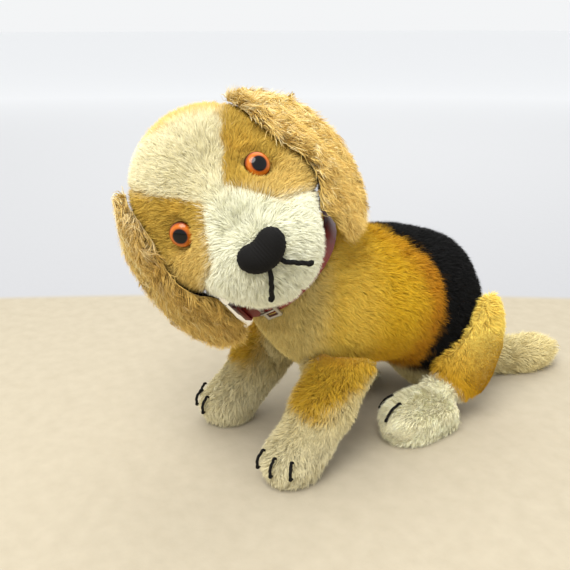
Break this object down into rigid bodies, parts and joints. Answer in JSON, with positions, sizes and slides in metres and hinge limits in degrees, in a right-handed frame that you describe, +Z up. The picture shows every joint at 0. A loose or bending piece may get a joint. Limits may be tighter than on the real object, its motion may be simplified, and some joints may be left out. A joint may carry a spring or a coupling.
{
  "type": "plush dog",
  "caption": "Seated plush puppy in short mohair with a tilted, disc-jointed head, drooping ears, glass eyes, stitched nose and claws, and a red leather collar.",
  "frame": {"origin": "on the surface that the puppy sits on, under the middle of its bounding box", "axes": "+Z up, the chest faces -Y, the puppy's own left side is +X, the tail points to +Y"},
  "size_m": [0.117, 0.271, 0.1752],
  "materials": {
    "golden_mohair": "short golden mohair pile, shaded to rust and black",
    "cream_mohair": "short cream mohair pile",
    "tan_mohair": "longer light tan mohair pile",
    "ear_lining": "short dark brown pile",
    "wood_wool": "packed wood wool",
    "card_disc": "dense grey-brown card",
    "plated_steel": "worn plating",
    "amber_glass": "polished, amber iris and black pupil",
    "black_thread": "thick matt cotton thread",
    "red_leather": "smooth, slightly cracked"
  },
  "bodies": {
    "body": {"body_disc": "card_disc", "body_washer": "plated_steel", "neck_pin": "plated_steel", "torso_cover": "golden_mohair", "torso_filling": "wood_wool", "front_leg_left_cover": "cream_mohair", "front_leg_left_filling": "wood_wool", "thigh_left_cover": "golden_mohair", "thigh_left_filling": "wood_wool", "hind_foot_left_cover": "cream_mohair", "hind_foot_left_filling": "wood_wool", "front_leg_right_cover": "cream_mohair", "front_leg_right_filling": "wood_wool", "thigh_right_cover": "golden_mohair", "thigh_right_filling": "wood_wool", "hind_foot_right_cover": "cream_mohair", "hind_foot_right_filling": "wood_wool", "claw_front_left_1": "black_thread", "claw_front_left_2": "black_thread", "claw_front_left_3": "black_thread", "claw_front_right_1": "black_thread", "claw_front_right_2": "black_thread", "claw_front_right_3": "black_thread", "claw_hind_left_1": "black_thread", "claw_hind_left_2": "black_thread", "claw_hind_right_1": "black_thread", "claw_hind_right_2": "black_thread"},
    "head": {"head_cover": "cream_mohair", "head_filling": "wood_wool", "eye_left": "amber_glass", "eye_shank_left": "plated_steel", "eye_right": "amber_glass", "eye_shank_right": "plated_steel", "nose": "black_thread", "mouth_stitch_left": "black_thread", "mouth_stitch_right": "black_thread", "head_disc": "card_disc", "head_washer": "plated_steel"},
    "ear_left": {"ear_mohair_left": "tan_mohair", "ear_lining_left": "ear_lining"},
    "ear_right": {"ear_mohair_right": "tan_mohair", "ear_lining_right": "ear_lining"},
    "tail": {"tail_cover": "tan_mohair", "tail_filling": "wood_wool"},
    "collar": {"collar_strap": "red_leather", "buckle_frame": "plated_steel", "collar_keeper": "red_leather"},
    "prong": {"buckle_prong": "plated_steel"}
  },
  "joints": [
    {"name": "head_swivel", "type": "hinge", "parent": "body", "child": "head", "pos_m": [-0.00912, -0.06774, 0.1027], "axis": [0, -0.6691, 0.7431], "continuous": true},
    {"name": "ear_left_lift", "type": "hinge", "parent": "head", "child": "ear_left", "pos_m": [-0.01585, -0.08861, 0.17305], "axis": [0.8645, -0.464, 0.1931], "range_deg": [0, 60], "stiffness_Nm_per_rad": 0.05},
    {"name": "ear_right_lift", "type": "hinge", "parent": "head", "child": "ear_right", "pos_m": [-0.02988, -0.13043, 0.13539], "axis": [-0.8645, 0.464, -0.1931], "range_deg": [0, 60], "stiffness_Nm_per_rad": 0.05},
    {"name": "tail_lift", "type": "hinge", "parent": "body", "child": "tail", "pos_m": [-0.00912, 0.06216, 0.0315], "axis": [1, 0, 0], "range_deg": [0, 35]},
    {"name": "collar_turn", "type": "hinge", "parent": "body", "child": "collar", "pos_m": [-0.00912, -0.06774, 0.1027], "axis": [0, -0.6691, 0.7431], "continuous": true},
    {"name": "prong_lift", "type": "hinge", "parent": "collar", "child": "prong", "pos_m": [0.01725, -0.08408, 0.08798], "axis": [0, -0.6691, 0.7431], "range_deg": [0, 80]}
  ]
}
